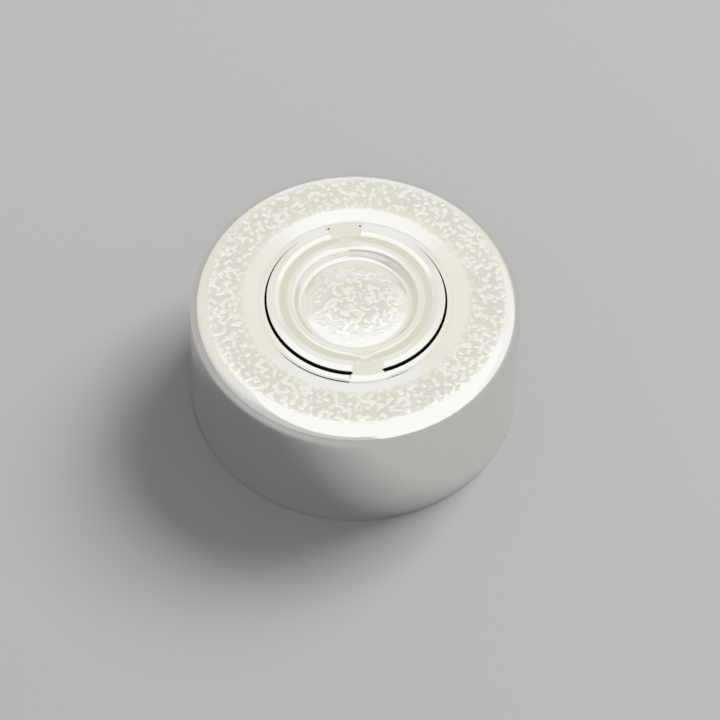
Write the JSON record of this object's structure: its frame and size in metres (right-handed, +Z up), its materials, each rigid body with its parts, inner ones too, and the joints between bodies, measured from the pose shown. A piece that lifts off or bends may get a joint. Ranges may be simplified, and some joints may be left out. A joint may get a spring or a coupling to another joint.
{
  "type": "tear-off vial seal",
  "caption": "Round metal crimp cap for a vial: a drawn cup with a straight skirt and a flat top, whose centre is a lanced disc with a sunken well, held by thin bridges so that it tears out.",
  "frame": {"origin": "centre of the open rim, on the plane that the cap stands on", "axes": "+Z up along the axis of the cap, from the open rim to the flat land; the two bridges of the tear-out disc lie on the Y axis"},
  "size_m": [0.0137, 0.0136, 0.0064],
  "materials": {
    "aluminium": "satin"
  },
  "bodies": {
    "root": {"aluminium_seal": "aluminium"}
  },
  "joints": []
}
